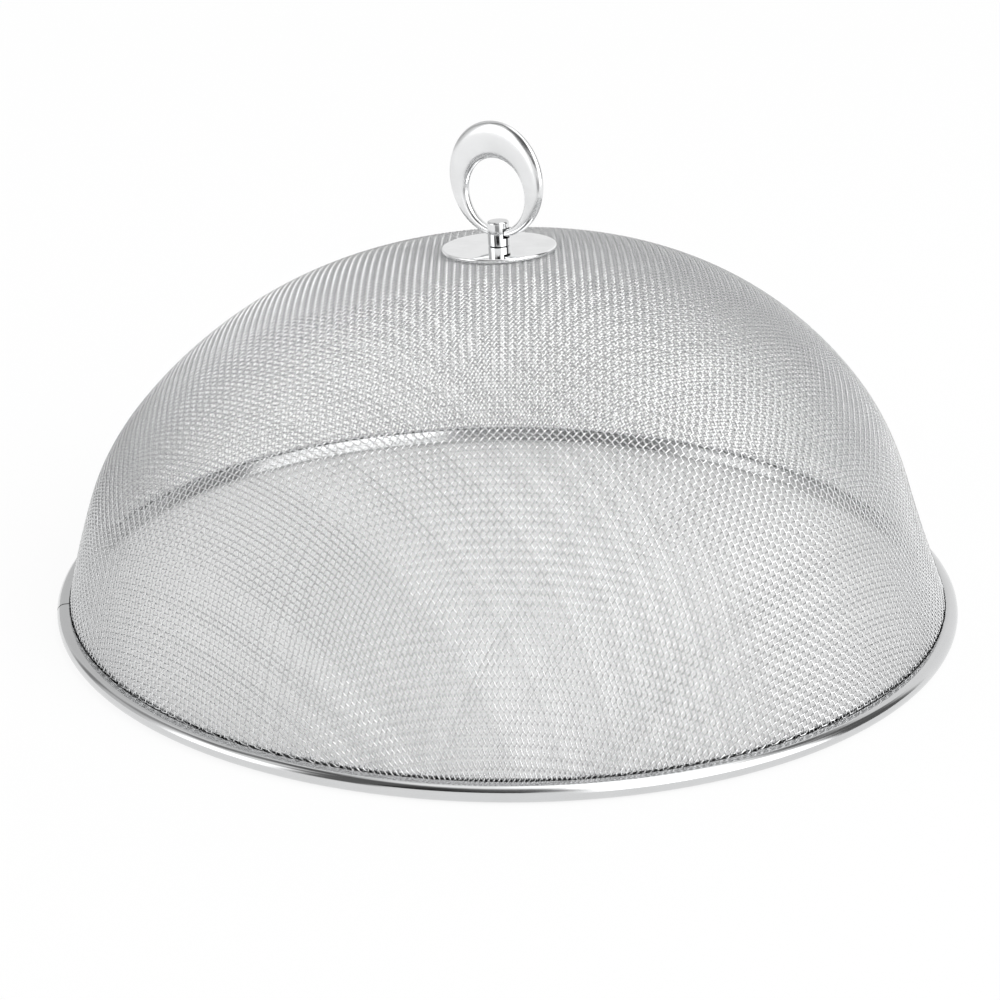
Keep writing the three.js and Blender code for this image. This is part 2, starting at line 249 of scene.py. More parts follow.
def makeMaterial(name):
    v = materialValues[name]
    material = bpy.data.materials.new(name)
    material.use_nodes = True
    tree = material.node_tree
    shader = tree.nodes["Principled BSDF"]
    shader.inputs["Metallic"].default_value = 1.0
    place = addNode(tree, "ShaderNodeTexCoord").outputs["Object"]
    marks = addNode(tree, "ShaderNodeGroup", node_tree=handling)
    feed(tree, marks.inputs["Place"], place)
    height = marks.outputs["Height"]
    mask = marks.outputs["Dulling"]
    if "lines" in v:
        lines = addNode(tree, "ShaderNodeGroup", node_tree=roundLines)
        feed(tree, lines.inputs["Place"], place)
        lines.inputs["Lines per metre"].default_value, lines.inputs["Lengthwise"].default_value = v["lines"]
        height = lines.outputs["Height"]
        smudges = mathNode(tree, "MULTIPLY", mask, markValues["smudgeShare"])
        mask = mathNode(tree, "ADD", smudges, lines.outputs["Patches"])
        mask = mathNode(tree, "MULTIPLY", mask, markValues["dulling"], clamp=True)
    low, high = v["roughness"]
    feed(tree, shader.inputs["Roughness"], mapRange(tree, mask, 0.0, 1.0, low, high))
    tint = addNode(tree, "ShaderNodeMix", data_type="RGBA")
    feed(tree, tint.inputs["Factor"], mask)
    tint.inputs[6].default_value = (*v["colour"], 1)
    tint.inputs[7].default_value = (*[c * markValues["dulledTint"] for c in v["colour"]], 1)
    feed(tree, shader.inputs["Base Color"], tint.outputs[2])
    bump = addNode(tree, "ShaderNodeBump")
    bump.inputs["Strength"].default_value = v["bump"]
    bump.inputs["Distance"].default_value = markValues["bumpDistance"]
    feed(tree, bump.inputs["Height"], height)
    feed(tree, shader.inputs["Normal"], bump.outputs[0])
    return material


chrome = makeMaterial("chrome")
softChrome = makeMaterial("softChrome")
brightPlate = makeMaterial("brightPlate")
rimSteel = makeMaterial("rimSteel")
wireSteel = makeMaterial("wireSteel")
plainSteel = makeMaterial("plainSteel")
print("stage: materials")


# A closed mesh whose faces all point inwards is turned inside out
def pointOutwards(mesh):
    shape = bmesh.new()
    shape.from_mesh(mesh)
    if shape.calc_volume(signed=True) < 0:
        mesh.flip_normals()
    shape.free()


# A mesh object from points in millimetres and faces, smooth but for edges sharper than the angle
def makeObject(name, points, faces, material, sharpAngle=40):
    mesh = bpy.data.meshes.new(name)
    mesh.from_pydata((np.asarray(points) * metre).tolist(), [], [list(map(int, f)) for f in faces])
    mesh.validate()
    pointOutwards(mesh)
    mesh.shade_smooth()
    mesh.set_sharp_from_angle(angle=math.radians(sharpAngle))
    mesh.materials.append(material)
    return addObject(name, mesh)


# Keeps what an object's modifier makes of it as its plain mesh
def keepResult(made):
    graph = bpy.context.evaluated_depsgraph_get()
    mesh = bpy.data.meshes.new_from_object(made.evaluated_get(graph))
    made.modifiers.clear()
    old = made.data
    made.data = mesh
    bpy.data.meshes.remove(old)
    mesh.name = made.name
    return mesh


def placePiece(piece, slot, *nodes):
    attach(piece, "root")
    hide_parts(*nodes)


# Four-sided faces of a grid of points, rows by columns
def gridFaces(rows, columns, closeRows=False, closeColumns=False):
    i = np.arange(rows if closeRows else rows - 1)
    j = np.arange(columns if closeColumns else columns - 1)
    i, j = (a.ravel() for a in np.meshgrid(i, j, indexing="ij"))
    row, nextRow, nextColumn = i * columns, (i + 1) % rows * columns, (j + 1) % columns
    return np.stack((row + j, row + nextColumn, nextRow + nextColumn, nextRow + j), 1)


def arcPoints(centre, radius, start, end, steps):
    turn = np.linspace(start, end, steps + 1)
    return np.stack([centre[0] + radius * np.cos(turn), centre[1] + radius * np.sin(turn)], 1)


def fullTurn(segments):
    return np.arange(segments) / segments * 2 * math.pi


# The points of an outline in radius and height, at every angle given
def turnedPoints(outline, turn):
    x, y = np.cos(turn) * outline[:, 0], np.sin(turn) * outline[:, 0]
    return np.stack([x, y, np.broadcast_to(outline[:, 1], x.shape)], -1).reshape(-1, 3)


# A closed outline swept round the axis through some angles, with both ends closed
def sweptShape(outline, turn):
    count = len(outline)
    faces = gridFaces(len(turn), count, closeColumns=True).tolist()
    faces.append(list(range(count)))
    faces.append([(len(turn) - 1) * count + k for k in reversed(range(count))])
    return turnedPoints(outline, turn), faces


# Points of rings round the axis. A ring is a radius and a height, each one number or one for every angle.
def ringPoints(rings, turn):
    x, y = np.cos(turn), np.sin(turn)
    return np.concatenate([np.stack(np.broadcast_arrays(r * x, r * y, z), 1) for r, z in rings])


# Outline of a plate with rounded edges, from the bore's foot round the outside and back
def plateOutline(inner, outer, bottom, top, edge, steps, crown=0.0, crownSteps=1):
    small = min(edge, (top - bottom) / 2)
    lower = arcPoints((outer - small, bottom + small), small, -math.pi / 2, 0, steps)
    upper = arcPoints((outer - small, top - small), small, 0, math.pi / 2, steps)
    share = np.linspace(0, 1, crownSteps + 1)[1:]
    reach = outer - small - inner
    upon = np.stack([outer - small - share * reach, top + crown * (1 - (1 - share) ** 2)], 1)
    return np.vstack([[(inner, bottom)], lower, upper, upon])


rimValues = {
    "radius": 175.0,
    "innerRadius": 168.0,
    "height": 6.1,
    "strip": 0.6,
    "rollRadius": 2.75,
    "cornerRadius": 0.9,
    "leafLean": 26.0,
    "lipInside": 170.2,
    "seamGap": 0.7,
    "seamTurn": 191.4,
    "segments": 208,
    "rollSteps": 28,
    "cornerSteps": 8,
    "endSteps": 6,
}


# The strip's section: its middle line thickened on both sides, with rounded ends
def rimSection():
    v = rimValues
    half = v["strip"] / 2
    leaf = v["innerRadius"] + half
    lean = math.radians(v["leafLean"])
    leafBottom = half + v["cornerRadius"] * (1 + math.sin(lean))
    leafFoot = leaf - (v["height"] - leafBottom) * math.tan(lean)
    leafTop = (leaf - half * math.sin(lean), v["height"] - half * math.cos(lean))
    corner = (leafFoot + v["cornerRadius"] * math.cos(lean), half + v["cornerRadius"])
    roll = np.array([v["radius"] - half - v["rollRadius"], half + v["rollRadius"]])
    lip = np.array([v["lipInside"] + half, v["height"] - half])
    toLip = lip - roll
    rollEnd = math.atan2(toLip[1], toLip[0]) - math.acos(v["rollRadius"] / np.hypot(*toLip))
    route = np.vstack(
        [
            [leafTop, ((leafTop[0] + leafFoot) / 2, (leafTop[1] + leafBottom) / 2)],
            arcPoints(corner, v["cornerRadius"], math.pi - lean, 1.5 * math.pi, v["cornerSteps"]),
            [((corner[0] + roll[0]) / 2, half)],
            arcPoints(roll, v["rollRadius"], -math.pi / 2, rollEnd, v["rollSteps"]),
            [lip],
        ]
    )
    before = np.vstack([route[:1], route[:-1]])
    after = np.vstack([route[1:], route[-1:]])
    ahead = after - before
    ahead /= np.linalg.norm(ahead, axis=1)[:, None]
    aside = np.stack([ahead[:, 1], -ahead[:, 0]], 1) * half
    outside, inside = route + aside, route - aside

    def cap(middle, first):
        start = math.atan2(*(first - middle)[::-1])
        return arcPoints(middle, half, start, start + math.pi, v["endSteps"])[1:-1]

    return np.vstack([outside, cap(route[-1], outside[-1]), inside[::-1], cap(route[0], inside[0])])


def makeRim():
    v = rimValues
    slit = v["seamGap"] / 2 / v["radius"]
    seam = math.radians(v["seamTurn"])
    turn = np.linspace(seam + slit, seam + 2 * math.pi - slit, v["segments"] + 1)
    rim = makeObject("rimBand", *sweptShape(rimSection(), turn[:, None]), rimSteel)
    placePiece(rim, "rim_steel", "rim_band")


makeRim()
print("stage: rim")

# The wall ends a little above the rim, by half the thickness of the strands in the solid's net,
# where a strand is a square bar with the metal of twelve wires.
netValues = {
    "wire": 0.5,
    "pitch": 2.03,
    "hemRadius": 169.4,
    "endHeight": 6.4 + math.sqrt(math.pi * 12) * 0.5 / 4,
    "height": 135.0,
    "flatRadius": 17.0,
    "crownSlope": 51.0,
    "wallSlope": 71.3,
    "wallLength": 41.0,
    "lean": 2.8,
    "leanFade": 2.35,
    "wallShift": -5.4,
    "shiftFade": 4.3,
    "crownShift": 2.3,
    "bottom": 1.3,  # where the wires end inside the rim
    "studClear": 3.4,  # radius of the hole for the stud
    "pathSteps": 3,
    "sides": 4,
    "groups": 6,  # pieces for each direction of the weave
    "shortestRun": 3,
    "unevenness": 0.012,
    "fullness": 1.11,  # makes up for the corners that a wire with few sides lacks
    "seed": 11,
    "beyond": 10.0,  # crossings are worked out this far past the wall
    "legRounds": 4,
    "crossingRounds": 6,
    "smallStep": 1e-3,
    "normalStep": 0.5,
    "longestMove": 1.0,
    "widestTurn": 0.5,
    "closeEnough": 0.01,
    "justUnder": 1e-9,
}


# The section's arcs, as in the part's source: a flat crown, two arcs, a straight wall, and straight down
# inside the rim
def netArcs():
    v = netValues
    crown, wall = math.radians(v["crownSlope"]), math.radians(v["wallSlope"])
    width = v["hemRadius"] - v["flatRadius"] - v["wallLength"] * math.cos(wall)
    drop = v["height"] - v["endHeight"] - v["wallLength"] * math.sin(wall)
    crownAcross, crownDown = math.sin(crown), 1 - math.cos(crown)
    wallAcross, wallDown = math.sin(wall) - crownAcross, math.cos(crown) - math.cos(wall)
    solveBy = crownAcross * wallDown - wallAcross * crownDown
    crownRadius = (width * wallDown - drop * wallAcross) / solveBy
    wallRadius = (crownAcross * drop - crownDown * width) / solveBy
    return crown, wall, crownRadius, wallRadius


def netSection(length):
    v = netValues
    crown, wall, crownRadius, wallRadius = netArcs()
    onArc = np.maximum(length - v["flatRadius"], 0)
    crownArc, wallArc = crownRadius * crown, wallRadius * (wall - crown)
    first = np.minimum(onArc, crownArc) / crownRadius
    second = crown + np.clip(onArc - crownArc, 0, wallArc) / wallRadius
    onWall = np.clip(onArc - crownArc - wallArc, 0, v["wallLength"])
    below = np.maximum(onArc - crownArc - wallArc - v["wallLength"], 0)
    radius = np.minimum(length, v["flatRadius"]) + crownRadius * np.sin(first)
    radius = radius + wallRadius * (np.sin(second) - math.sin(crown)) + onWall * math.cos(wall)
    drop = crownRadius * (1 - np.cos(first)) + wallRadius * (math.cos(crown) - np.cos(second))
    return radius, v["height"] - drop - onWall * math.sin(wall) - below


def netPoint(length, angle):
    v = netValues
    radius, height = netSection(length)
    x = radius * np.cos(angle)
    share = np.clip((height - v["endHeight"]) / (v["height"] - v["endHeight"]), 0, 1)
    lift = math.tan(math.radians(v["lean"])) * x * (1 - (1 - share) ** v["leanFade"])
    shift = v["wallShift"] * (1 - (1 - share) ** v["shiftFade"]) + v["crownShift"] * share
    return np.stack([x + shift, radius * np.sin(angle), height + lift], -1)


def netNormal(length, angle):
    step = netValues["normalStep"]
    far = np.maximum(length, netValues["flatRadius"])
    turn = step / netSection(far)[0]
    along = netPoint(far + step, angle) - netPoint(far - step, angle)
    around = netPoint(far, angle + turn) - netPoint(far, angle - turn)
    normal = np.cross(along, around)
    return normal / np.linalg.norm(normal, axis=-1, keepdims=True)


def distance(a, b):
    return np.linalg.norm(a - b, axis=-1)


# Lengths of arc of the crossings down a straight leg, each one pitch from the last
def legLengths(angle, size):
    v = netValues
    lengths = [0.0]
    for crossing in range(size - 1):
        last = netPoint(lengths[-1], angle)
        following = lengths[-1] + v["pitch"]
        for attempt in range(v["legRounds"]):
            following += v["pitch"] - distance(netPoint(following, angle), last)
        lengths.append(following)
    return np.array(lengths)


# Length of arc and angle of the crossings one pitch from two known places each, closer with every round
def solveCrossings(length, angle, first, second):
    v = netValues
    small = v["smallStep"]

    def misses(u, a):
        place = netPoint(u, a)
        return distance(place, first) - v["pitch"], distance(place, second) - v["pitch"]

    for attempt in range(v["crossingRounds"]):
        turn = small / np.maximum(netSection(length)[0], small)
        now = misses(length, angle)
        farther = misses(length + small, angle)
        turned = misses(length, angle + turn)
        a, b = ((farther[k] - now[k]) / small for k in (0, 1))
        c, d = ((turned[k] - now[k]) / turn for k in (0, 1))
        scale = a * d - c * b
        move = (now[0] * d - c * now[1]) / scale
        swing = (a * now[1] - now[0] * b) / scale
        length = length - np.clip(move, -v["longestMove"], v["longestMove"])
        angle = angle - np.clip(swing, -v["widestTurn"], v["widestTurn"])
    return length, angle, np.hypot(*misses(length, angle)) < v["closeEnough"]


# Places of all wire crossings. Every crossing is one pitch from its neighbours, as in cloth whose wires
# keep their length when it is pressed into a dome. Quarter by quarter, one diagonal of crossings at a time.
def netCrossings():
    v = netValues
    crown, wall, crownRadius, wallRadius = netArcs()
    arcs = crownRadius * crown + wallRadius * (wall - crown)
    limit = v["flatRadius"] + arcs + v["wallLength"] + v["beyond"]
    reach = int(limit / v["pitch"]) + 2
    size = reach + 1
    lengths = np.full((4, size, size), np.nan)
    angles = np.full((4, size, size), np.nan)
    # For each quarter the signs of its two directions, and the legs beside it in eighths of a turn
    quarters = ((1, 1, 1, 3), (-1, 1, 5, 3), (-1, -1, 5, 7), (1, -1, 9, 7))
    for q, (signI, signJ, legI, legJ) in enumerate(quarters):
        lengths[q, :, 0] = legLengths(legI * math.pi / 4, size)
        lengths[q, 0, :] = legLengths(legJ * math.pi / 4, size)
        angles[q, :, 0] = legI * math.pi / 4
        angles[q, 0, :] = legJ * math.pi / 4
    points = netPoint(lengths, angles)
    for diagonal in range(2, 2 * reach + 1):
        i = np.arange(max(1, diagonal - reach), min(reach, diagonal - 1) + 1)
        j = diagonal - i
        first, second, behind = points[:, i - 1, j], points[:, i, j - 1], points[:, i - 1, j - 1]
        known = np.isfinite(first + second + behind).all(-1)
        known &= np.minimum(lengths[:, i - 1, j], lengths[:, i, j - 1]) < limit
        guess = first + second - behind
        length = lengths[:, i - 1, j] + lengths[:, i, j - 1] - lengths[:, i - 1, j - 1]
        length = np.where(known, length, limit / 2)  # anything will do for the unknown ones
        shift = netPoint(length, math.pi / 2)[..., 0]
        angle = np.where(known, np.arctan2(guess[..., 1], guess[..., 0] - shift), 0.0)
        length, angle, met = solveCrossings(length, angle, first, second)
        known &= met
        lengths[:, i, j] = np.where(known, length, np.nan)
        angles[:, i, j] = np.where(known, angle, np.nan)
        points[:, i, j] = np.where(known[..., None], netPoint(length, angle), np.nan)
    whole = np.full((2 * reach + 1, 2 * reach + 1, 2), np.nan)
    for q, (signI, signJ, legI, legJ) in enumerate(quarters):
        part = whole[reach::signI, reach::signJ]
        part[..., 0] = lengths[q]
        part[..., 1] = angles[q]
    return whole


# One bundle of wires as a bare mesh of points and edges, with the net's normal and the over-or-under lift
def wireBundle(name, lines, points, normals, direction):
    v = netValues
    places, ups, lifts, edges = [], [], [], []
    for line in lines:
        row, up = points[line], normals[line]
        index = np.arange(len(row))
        lift = direction * np.where((index + line) % 2 == 0, 1.0, -1.0)
        fromStud = np.hypot(row[:, 0] - handleValues["offset"], row[:, 1])
        inside = np.isfinite(row[:, 2]) & (row[:, 2] > v["bottom"]) & (fromStud > v["studClear"])
        runs = np.flatnonzero(np.diff(np.concatenate([[0], inside.astype(int), [0]])))
        for start, end in zip(runs[::2], runs[1::2]):
            run = [(row[k], up[k], lift[k]) for k in range(start, end)]
            for at, beyond in ((0, start - 1), (-1, end)):
                if 0 <= beyond < len(row) and row[beyond][2] < v["bottom"]:
                    near, nearUp, nearLift = run[at]
                    share = (near[2] - v["bottom"]) / (near[2] - row[beyond][2])
                    tipLift = nearLift + (lift[beyond] - nearLift) * share
                    tip = (near + (row[beyond] - near) * share, nearUp, tipLift)
                    run = [tip, *run] if at == 0 else [*run, tip]
            if len(run) < v["shortestRun"]:
                continue
            edges += [(len(places) + k, len(places) + k + 1) for k in range(len(run) - 1)]
            for place, normal, over in run:
                places.append(place)
                ups.append(normal)
                lifts.append(over)
    mesh = bpy.data.meshes.new(name)
    mesh.vertices.add(len(places))
    mesh.vertices.foreach_set("co", (np.array(places) * metre).ravel())
    mesh.edges.add(len(edges))
    mesh.edges.foreach_set("vertices", np.array(edges).ravel())
    mesh.update()
    upward = mesh.attributes.new("netNormal", "FLOAT_VECTOR", "POINT")
    upward.data.foreach_set("vector", np.array(ups).ravel())
    mesh.attributes.new("lift", "FLOAT", "POINT").data.foreach_set("value", np.array(lifts))
    return addObject(name, mesh)


# Geometry Nodes: lifts the crossings over and under, rounds the path and gives it a wire's thickness
def makeWireTree():
    tree = bpy.data.node_groups.new("wireTree", "GeometryNodeTree")
    for label, kind in (
        ("Geometry", "NodeSocketGeometry"),
        ("Wire radius", "NodeSocketFloat"),
        ("Crimp", "NodeSocketFloat"),
        ("Unevenness", "NodeSocketFloat"),
        ("Path steps", "NodeSocketInt"),
        ("Sides", "NodeSocketInt"),
        ("Seed", "NodeSocketInt"),
        ("Material", "NodeSocketMaterial"),
    ):
        tree.interface.new_socket(name=label, in_out="INPUT", socket_type=kind)
    tree.interface.new_socket(name="Geometry", in_out="OUTPUT", socket_type="NodeSocketGeometry")
    start = tree.nodes.new("NodeGroupInput").outputs
    normal = addNode(tree, "GeometryNodeInputNamedAttribute", data_type="FLOAT_VECTOR")
    normal.inputs["Name"].default_value = "netNormal"
    lift = addNode(tree, "GeometryNodeInputNamedAttribute", data_type="FLOAT")
    lift.inputs["Name"].default_value = "lift"
    chance = addNode(tree, "FunctionNodeRandomValue", data_type="FLOAT")
    scalars = [s for s in chance.inputs if s.type == "VALUE"]
    feed(tree, scalars[0], mathNode(tree, "MULTIPLY", start["Unevenness"], -1.0))
    feed(tree, scalars[1], start["Unevenness"])
    feed(tree, chance.inputs["Seed"], start["Seed"])
    spread = next(s for s in chance.outputs if s.type == "VALUE")
    raised = mathNode(tree, "ADD", next(s for s in lift.outputs if s.type == "VALUE"), spread)
    offset = addNode(tree, "ShaderNodeVectorMath", operation="SCALE")
    feed(tree, offset.inputs[0], next(s for s in normal.outputs if s.type == "VECTOR"))
    feed(tree, offset.inputs["Scale"], mathNode(tree, "MULTIPLY", raised, start["Crimp"]))
    moved = addNode(tree, "GeometryNodeSetPosition")
    feed(tree, moved.inputs["Geometry"], start["Geometry"])
    feed(tree, moved.inputs["Offset"], offset.outputs[0])
    curve = addNode(tree, "GeometryNodeMeshToCurve")
    feed(tree, curve.inputs[0], moved.outputs[0])
    smooth = addNode(tree, "GeometryNodeCurveSplineType", spline_type="CATMULL_ROM")
    feed(tree, smooth.inputs["Curve"], curve.outputs[0])
    fine = addNode(tree, "GeometryNodeSetSplineResolution")
    feed(tree, fine.inputs[0], smooth.outputs[0])
    feed(tree, fine.inputs["Resolution"], start["Path steps"])
    circle = addNode(tree, "GeometryNodeCurvePrimitiveCircle", mode="RADIUS")
    feed(tree, circle.inputs["Resolution"], start["Sides"])
    feed(tree, circle.inputs["Radius"], start["Wire radius"])
    wires = addNode(tree, "GeometryNodeCurveToMesh")
    feed(tree, wires.inputs["Curve"], fine.outputs[0])
    feed(tree, wires.inputs["Profile Curve"], circle.outputs[0])
    wires.inputs["Fill Caps"].default_value = True
    shaded = addNode(tree, "GeometryNodeSetShadeSmooth")
    feed(tree, shaded.inputs[0], wires.outputs[0])
    real = addNode(tree, "GeometryNodeRealizeInstances")
    feed(tree, real.inputs[0], shaded.outputs[0])
    dressed = addNode(tree, "GeometryNodeSetMaterial")
    feed(tree, dressed.inputs["Geometry"], real.outputs[0])
    feed(tree, dressed.inputs["Material"], start["Material"])
    feed(tree, tree.nodes.new("NodeGroupOutput").inputs[0], dressed.outputs[0])
    return tree


# Runs a tree on an object and keeps the result as its plain mesh
def bakeTree(made, tree, values):
    modifier = made.modifiers.new("tree", "NODES")
    modifier.node_group = tree
    for item in tree.interface.items_tree:
        if item.in_out == "INPUT" and item.name in values:
            modifier[item.identifier] = values[item.name]
    keepResult(made)


def makeNet():
    v = netValues
    lengths, angles = np.moveaxis(netCrossings(), -1, 0)
    points, normals = netPoint(lengths, angles), netNormal(lengths, angles)
    tree = makeWireTree()
    shown = np.nan_to_num(points[..., 2], nan=-1) > v["bottom"]
    total = 0
    for direction, label in ((1, "netWarp"), (-1, "netWeft")):
        rows = points if direction > 0 else points.transpose(1, 0, 2)
        ups = normals if direction > 0 else normals.transpose(1, 0, 2)
        counts = shown.sum(1) if direction > 0 else shown.sum(0)
        filled = np.cumsum(counts) / counts.sum() * v["groups"]
        bundle = np.minimum((filled - v["justUnder"]).astype(int), v["groups"] - 1)
        for k in range(v["groups"]):
            lines = [n for n in range(len(rows)) if bundle[n] == k and counts[n] >= v["shortestRun"]]
            wires = wireBundle(f"{label}{k + 1}", lines, rows, ups, direction)
            settings = {
                "Wire radius": v["wire"] / 2 * v["fullness"] * metre,
                "Crimp": v["wire"] / 2 * metre,
                "Unevenness": v["unevenness"],
                "Path steps": v["pathSteps"],
                "Sides": v["sides"],
                "Seed": v["seed"] + k,
                "Material": wireSteel,
            }
            bakeTree(wires, tree, settings)
            placePiece(wires, "wire_steel", "mesh_dome")
            total += 2 * len(wires.data.polygons)
    print("stage: net,", int(shown.sum()), "crossings,", total, "triangles")


# Heights of the handle's pieces are counted from the net at the crown, along the post.
handleValues = {
    "offset": -3.1,
    "lean": 2.8,
    "plateDiameter": 43.0,
    "plateBottom": 0.8,
    "plateTop": 2.2,
    "plateEdge": 0.55,
    "plateCrown": 0.12,
    "studHole": 2.8,
    "washerDiameter": 34.0,
    "washerTop": -0.8,
    "washerBottom": -2.0,
    "washerEdge": 0.18,
    "plateEdgeSteps": 8,
    "plateCrownSteps": 6,
    "washerEdgeSteps": 4,
    "segments": 160,
}


# From the handle's own axis to the part's frame
def onHandle(points):
    v = handleValues
    lean = math.radians(v["lean"])
    x, y, z = np.asarray(points, float).T
    height = netValues["height"]
    leaned = (x * math.cos(lean) - z * math.sin(lean), y, x * math.sin(lean) + z * math.cos(lean))
    return np.stack([leaned[0] + v["offset"], leaned[1], leaned[2] + height], 1)


def makeDisc(name, outline, material):
    faces = gridFaces(handleValues["segments"], len(outline), closeRows=True, closeColumns=True)
    points = turnedPoints(outline, fullTurn(handleValues["segments"])[:, None])
    return makeObject(name, onHandle(points), faces, material)


def makePlates():
    v = handleValues
    size = v["studHole"], v["plateDiameter"] / 2, v["plateBottom"], v["plateTop"], v["plateEdge"]
    outline = plateOutline(*size, v["plateEdgeSteps"], v["plateCrown"], v["plateCrownSteps"])
    plate = makeDisc("coverPlate", outline, brightPlate)
    placePiece(plate, "chrome", "cover_plate")
    size = v["studHole"], v["washerDiameter"] / 2, v["washerBottom"], v["washerTop"], v["washerEdge"]
    washer = makeDisc("innerWasher", plateOutline(*size, v["washerEdgeSteps"]), plainSteel)
    placePiece(washer, "plain_steel", "inner_washer")


ringValues = {
    "diameter": 43.0,
    "hole": 26.8,
    "footWidth": 2.6,
    "thickness": 4.4,
    "footThickness": 3.4,
    "bottom": 5.6,
    "turn": 38.0,
    "flatness": 3.6,
    "around": 160,
    "across": 22,
    "sharpAngle": 60,
}


def turnedBy(points, degrees):
    turn = math.radians(degrees)
    cos, sin = math.cos(turn), math.sin(turn)
    x, y, z = np.asarray(points, float).T
    return np.stack([x * cos - y * sin, x * sin + y * cos, z], 1)


# The ring's hole lies low in it, so that it is broad at the top. Its section is a flattened oval.
def makeRing():
    v = ringValues
    outer, hole = v["diameter"] / 2, v["hole"] / 2
    rise = outer - hole - v["footWidth"]
    broadest = outer + rise - hole
    turn = fullTurn(v["around"])
    cos, sin = np.cos(turn), np.sin(turn)
    width = rise * sin + np.sqrt(outer**2 - (rise * cos) ** 2) - hole
    broad = (width - v["footWidth"]) / (broadest - v["footWidth"])
    half = (v["footThickness"] + broad * (v["thickness"] - v["footThickness"])) / 2
    swing = np.linspace(0, math.pi, v["across"] + 1)
    share = (1 - np.cos(swing)) / 2
    bulge = np.sqrt(np.maximum(0, 1 - np.abs(2 * share - 1) ** v["flatness"]))
    share = np.concatenate([share, share[-2:0:-1]])
    bulge = np.concatenate([-bulge, bulge[-2:0:-1]])
    radius = hole + width[:, None] * share
    depth = half[:, None] * bulge
    points = np.stack([radius * cos[:, None], depth, radius * sin[:, None]], -1).reshape(-1, 3)
    points[:, 2] += v["bottom"] + v["footWidth"] + hole
    faces = gridFaces(v["around"], len(share), closeRows=True, closeColumns=True)
    points = onHandle(turnedBy(points, -v["turn"]))
    ring = makeObject("handleRing", points, faces, softChrome, v["sharpAngle"])
    placePiece(ring, "chrome", "handle_ring")


postValues = {
    "diameter": 8.2,
    "bottom": 2.5,
    "top": 11.6,
    "edge": 0.8,
    "footEdge": 0.25,
    "studDiameter": 5.0,
    "studBottom": -9.0,
    "studTaper": 0.5,
    "threadPitch": 0.8,
    "threadDepth": 0.42,
    "threadTop": -1.5,
    "slotBottom": 5.3,
    "slotTop": 9.2,
    "slotGap": 0.3,
    "shoulder": 0.02,  # how far below the post's foot the stud's last ring lies
    "threadSteps": 10,
    "footEdgeSteps": 4,
    "edgeSteps": 8,
    "segments": 96,
    "sharpAngle": 40,
}


# A turned post with a threaded stud, as rings of points whose radius follows height and angle
def postShape():
    v = postValues
    stud, post = v["studDiameter"] / 2, v["diameter"] / 2
    turn = fullTurn(v["segments"])
    rings = []
    for height in np.arange(v["studBottom"], v["threadTop"], v["threadPitch"] / v["threadSteps"]):
        phase = (height / v["threadPitch"] - turn / (2 * math.pi)) % 1
        groove = v["threadDepth"] * np.abs(2 * phase - 1)
        taper = max(0.0, v["studTaper"] - (height - v["studBottom"]))
        fade = min(1.0, (v["threadTop"] - height) / v["threadPitch"])
        rings.append((stud - groove * fade - taper, height))
    rings += [(stud, v["threadTop"]), (stud, v["bottom"] - v["shoulder"])]
    small, edge = v["footEdge"], v["edge"]
    foot, head = (post - small, v["bottom"] + small), (post - edge, v["top"] - edge)
    rings += arcPoints(foot, small, -math.pi / 2, 0, v["footEdgeSteps"]).tolist()
    rings += arcPoints(head, edge, 0, math.pi / 2, v["edgeSteps"]).tolist()
    count = v["segments"]
    faces = gridFaces(len(rings), count, closeColumns=True).tolist()
    faces.append(list(reversed(range(count))))
    faces.append([(len(rings) - 1) * count + k for k in range(count)])
    return ringPoints(rings, turn), faces


# The bar that the ring's slot is cut with
def slotShape():
    v = postValues
    thick = ringValues["footThickness"] + 2 * v["slotGap"]
    across, deep = (-v["diameter"], v["diameter"]), (-thick / 2, thick / 2)
    corners = [(x, y, z) for x in across for y in deep for z in (v["slotBottom"], v["slotTop"])]
    sides = [(0, 1, 3, 2), (4, 6, 7, 5), (0, 4, 5, 1), (2, 3, 7, 6), (0, 2, 6, 4), (1, 5, 7, 3)]
    return turnedBy(corners, -ringValues["turn"]), sides


def makePost():
    sharpAngle = postValues["sharpAngle"]
    made = makeObject("handlePost", *postShape(), chrome, sharpAngle)
    cutter = makeObject("slotCutter", *slotShape(), chrome)
    cut = made.modifiers.new("slot", "BOOLEAN")
    cut.object = cutter
    cut.operation = "DIFFERENCE"
    cut.solver = "EXACT"
    mesh = keepResult(made)
    bpy.data.objects.remove(cutter)
    place = np.zeros(len(mesh.vertices) * 3)
    mesh.vertices.foreach_get("co", place)
    moved = onHandle(place.reshape(-1, 3) / metre) * metre
    mesh.vertices.foreach_set("co", moved.ravel())
    mesh.update()
    mesh.set_sharp_from_angle(angle=math.radians(sharpAngle))
    placePiece(made, "chrome", "handle_post")


fixingValues = {
    "springOuter": 4.6,
    "springTop": -2.3,
    "springBottom": -3.5,
    "springSplit": 10.0,
    "springSlant": 9.0,
    "springEdge": 0.12,
    "springSteps": 96,
    "springSharpAngle": 50,
    "nutWidth": 8.0,
    "nutTop": -3.8,
    "nutBottom": -7.8,
    "nutChamfer": 30.0,
    "nutFace": 0.97,
    "leastChamfer": 0.02,
    "nutSegments": 120,
    "nutSharpAngle": 25,
    "bore": 2.8,
    "boreChamfer": 0.25,
}


